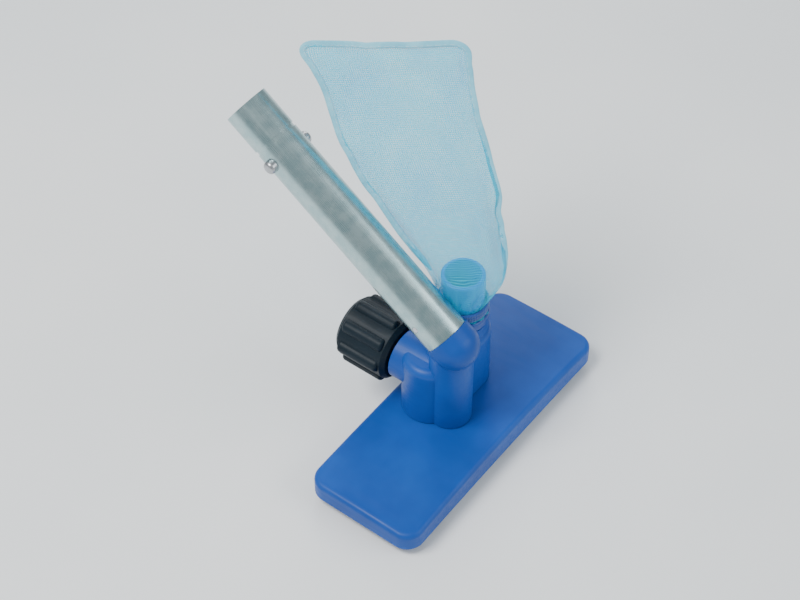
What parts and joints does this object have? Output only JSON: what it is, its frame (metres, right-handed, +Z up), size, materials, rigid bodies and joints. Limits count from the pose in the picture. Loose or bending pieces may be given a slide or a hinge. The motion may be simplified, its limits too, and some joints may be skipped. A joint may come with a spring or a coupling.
{
  "type": "manual pool vacuum head",
  "caption": "Venturi pool vacuum head: rectangular plate on brushes, hose swivel nut, angled pole stem with snap buttons and a mesh debris bag.",
  "frame": {"origin": "on the floor, under the middle of the whole head's box", "axes": "+Z up from the floor, +Y towards the user, along the hose inlet, +X along the plate's long side"},
  "size_m": [0.19, 0.1898, 0.2252],
  "materials": {
    "blue_plastic": "moulded, satin gloss",
    "spout_plastic": "moulded, satin gloss",
    "collar_plastic": "moulded, satin gloss",
    "grey_plastic": "moulded, fine texture",
    "nut_plastic": "moulded, fine texture",
    "black_rubber": "matt",
    "bag_mesh": "open knitted polyester net",
    "elastic_band": "woven elastic",
    "bristle_nylon": "nylon bristle",
    "stainless": "passivated",
    "button_steel": "brushed",
    "spring_steel": "plain",
    "ballast_steel": "epoxy coated",
    "nozzle_brass": "turned",
    "stem_aluminium": "satin anodised"
  },
  "bodies": {
    "head": {"head_shell": "blue_plastic", "jet_housing": "blue_plastic", "housing_gasket": "black_rubber", "housing_screws": "stainless", "intake_funnel": "grey_plastic", "jet_ring": "grey_plastic", "jet_nozzles": "nozzle_brass", "outlet_spout": "spout_plastic", "spout_seal": "black_rubber", "bag_collar": "collar_plastic", "bag_cuff": "elastic_band", "debris_bag": "bag_mesh", "inlet_pipe": "grey_plastic", "inlet_seal": "black_rubber", "hose_washer": "black_rubber", "inlet_screen": "stainless", "front_brush": "bristle_nylon", "rear_brush": "bristle_nylon", "brush_screws": "stainless", "ballast_near": "ballast_steel", "ballast_far": "ballast_steel", "ballast_screws": "stainless", "stem_tube": "stem_aluminium", "stem_rivet": "stainless", "snap_spring": "spring_steel"},
    "swivel_nut": {"hose_nut": "nut_plastic"},
    "button_near": {"snap_button_near": "button_steel"},
    "button_far": {"snap_button_far": "button_steel"}
  },
  "joints": [
    {"name": "nut_spin", "type": "hinge", "parent": "head", "child": "swivel_nut", "pos_m": [-0.008, -0.00509, 0.0525], "axis": [0, 1, 0], "continuous": true},
    {"name": "button_near_press", "type": "slide", "parent": "head", "child": "button_near", "axis": [1, 0, 0], "range_m": [0, 0.0042], "stiffness_N_per_m": 1500, "springref_m": -0.002, "deforming": ["snap_spring"]},
    {"name": "button_far_press", "type": "slide", "parent": "head", "child": "button_far", "axis": [-1, 0, 0], "range_m": [0, 0.0042], "stiffness_N_per_m": 1500, "springref_m": -0.002}
  ]
}
